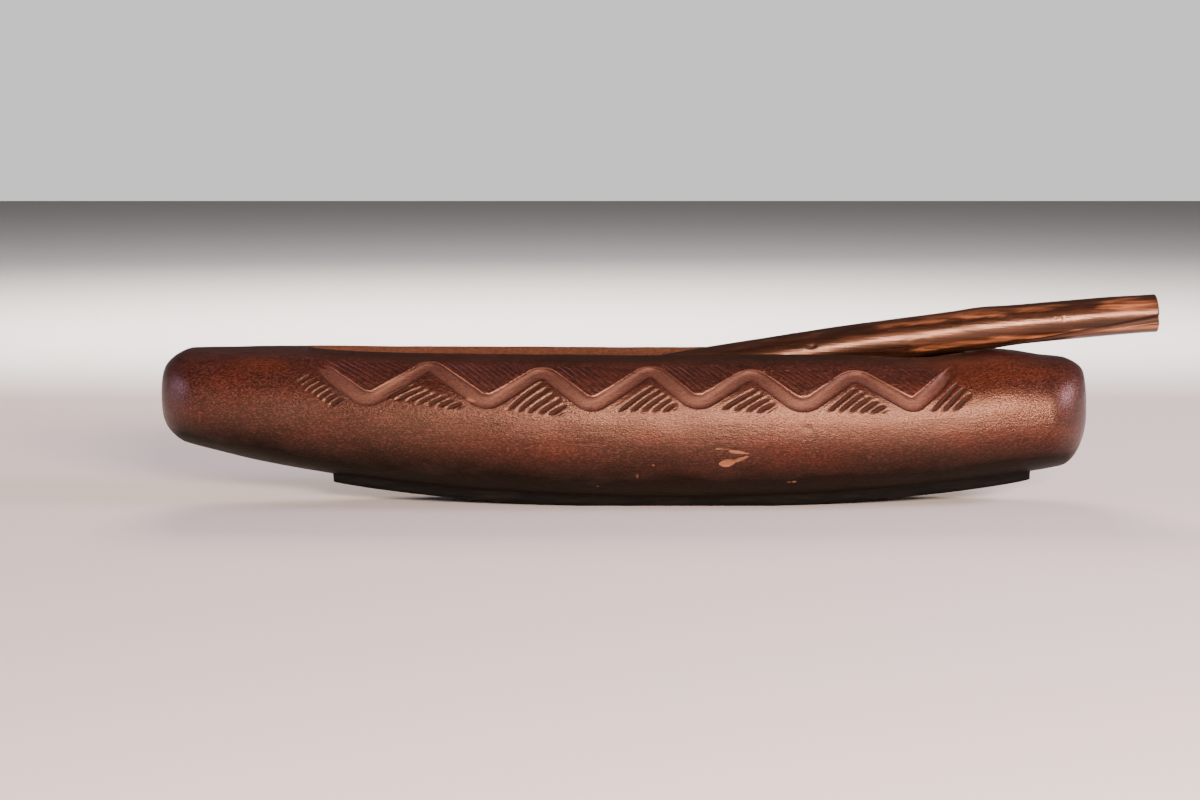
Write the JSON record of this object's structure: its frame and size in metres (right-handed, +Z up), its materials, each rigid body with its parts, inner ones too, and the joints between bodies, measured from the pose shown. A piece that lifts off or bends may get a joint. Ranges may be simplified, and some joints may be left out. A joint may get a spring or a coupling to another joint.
{
  "type": "drum with beater",
  "caption": "Long carved wooden slit drum with rounded ends, a zigzag band and a low foot, hollowed through a lens-shaped top slot, with a bowed natural stick beater lying in the slot.",
  "frame": {"origin": "on the flat underside of the drum's low foot, midway across it, 0.28 m in from the drum's left end", "axes": "+X along the drum towards the end that the beater sticks out over, -Y towards the carved front, +Z up out of the slot"},
  "size_m": [0.643, 0.122, 0.1351],
  "materials": {
    "drum_wood": "reddish brown hardwood, hand carved and rubbed to a dull shine, darkened by age and handling",
    "beater_wood": "dark brown natural stick with lighter orange streaks, handled to a soft gloss"
  },
  "bodies": {
    "root": {"slit_drum": "drum_wood", "beater": "beater_wood"}
  },
  "joints": []
}
